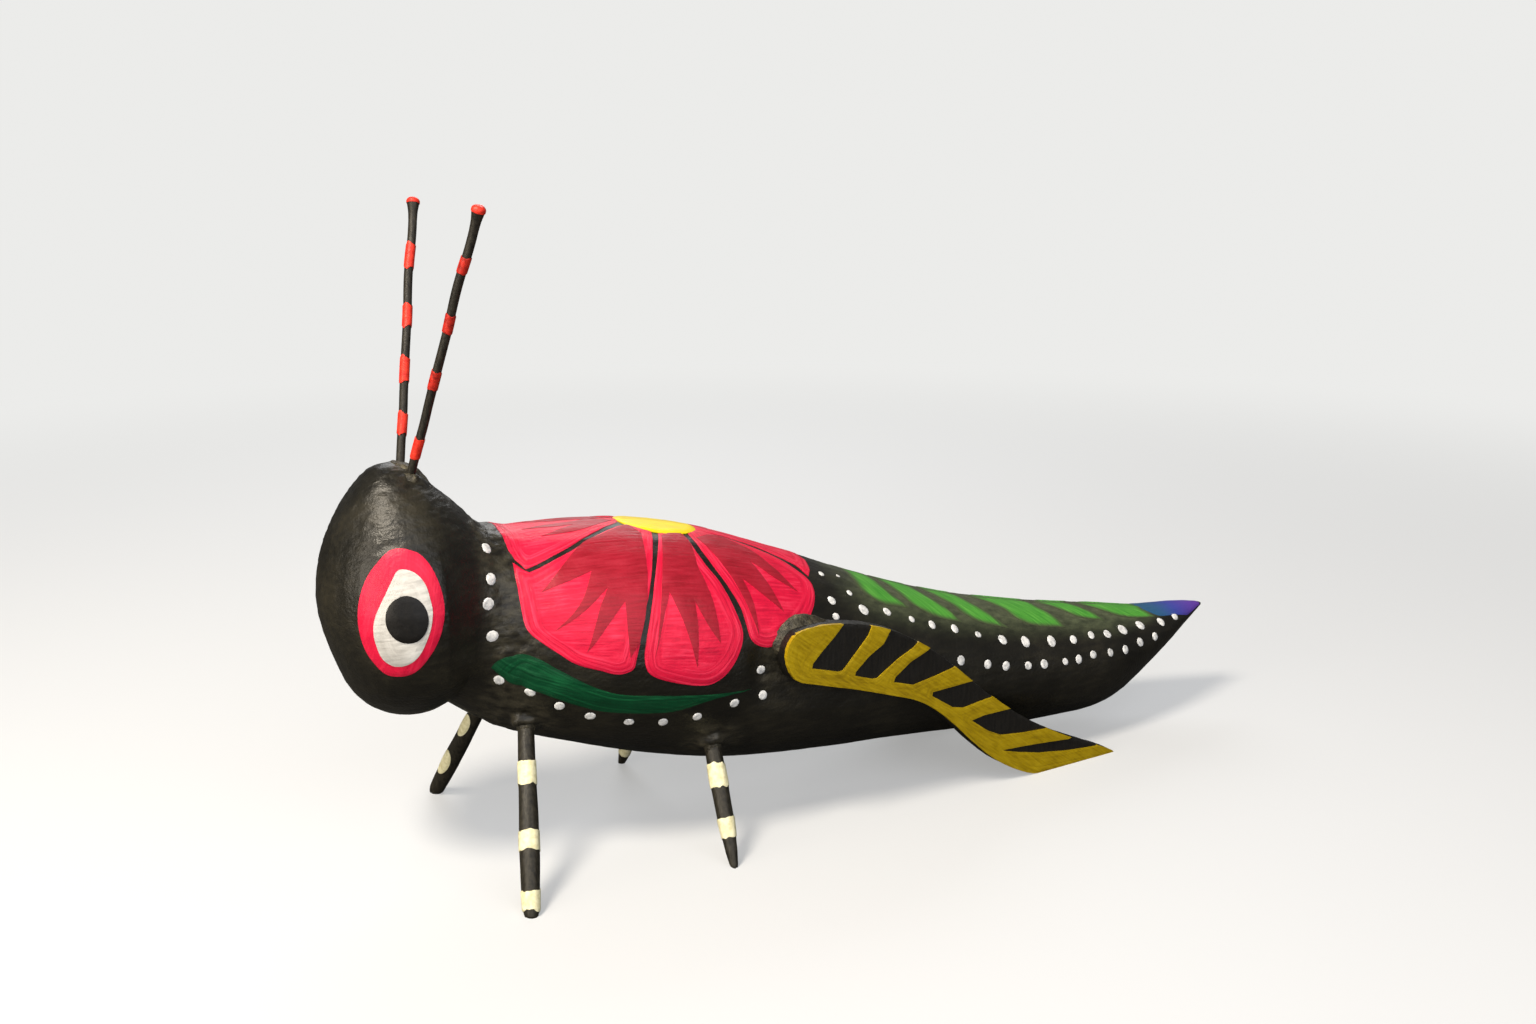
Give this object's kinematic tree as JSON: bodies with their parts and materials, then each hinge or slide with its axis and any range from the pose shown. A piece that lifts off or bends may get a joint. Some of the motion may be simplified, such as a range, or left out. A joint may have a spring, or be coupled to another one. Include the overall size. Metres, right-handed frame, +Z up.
{
  "type": "carved grasshopper figure",
  "caption": "Carved and painted wooden grasshopper figure with an upright egg-shaped head, long feelers, a tapering body and pegged legs, standing free.",
  "frame": {"origin": "on the surface the figure stands on, under the middle of its bounding box", "axes": "+X from the head to the tail, +Y to the figure's right, +Z up"},
  "size_m": [0.246, 0.0748, 0.1453],
  "materials": {
    "black_body": "acrylic paint over carved copal, satin black with an olive-brown cast where it is rubbed",
    "black_limbs": "acrylic paint over whittled wood, satin black",
    "black_paste": "sawdust and glue paste painted over, rough satin black",
    "hind_leg_black": "acrylic paint over carved copal, satin black",
    "raw_wood": "bare whittled pin, dry",
    "pink_paint": "brushed acrylic, satin hot pink",
    "crimson_paint": "brushed acrylic, satin deep crimson",
    "yellow_paint": "brushed acrylic, satin lemon yellow",
    "dark_green_paint": "brushed acrylic, satin dark green",
    "bright_green_paint": "brushed acrylic, satin leaf green",
    "violet_paint": "brushed acrylic, satin blue violet",
    "white_paint": "acrylic dabbed on thickly, satin white",
    "cream_paint": "brushed acrylic, satin cream",
    "olive_paint": "brushed acrylic, satin olive yellow",
    "red_paint": "brushed acrylic, satin orange red"
  },
  "bodies": {
    "root": {"head": "black_body", "body": "black_body", "neck_dowel": "raw_wood", "neck_filler": "black_paste", "left_antenna": "black_limbs", "right_antenna": "black_limbs", "antenna_filler": "black_paste", "left_front_leg": "black_limbs", "right_front_leg": "black_limbs", "left_middle_leg": "black_limbs", "right_middle_leg": "black_limbs", "left_front_leg_filler": "black_paste", "right_front_leg_filler": "black_paste", "left_middle_leg_filler": "black_paste", "right_middle_leg_filler": "black_paste", "left_hind_leg": "hind_leg_black", "right_hind_leg": "hind_leg_black", "left_hind_leg_dowel": "raw_wood", "right_hind_leg_dowel": "raw_wood", "left_hind_leg_filler": "black_paste", "right_hind_leg_filler": "black_paste"}
  },
  "joints": []
}
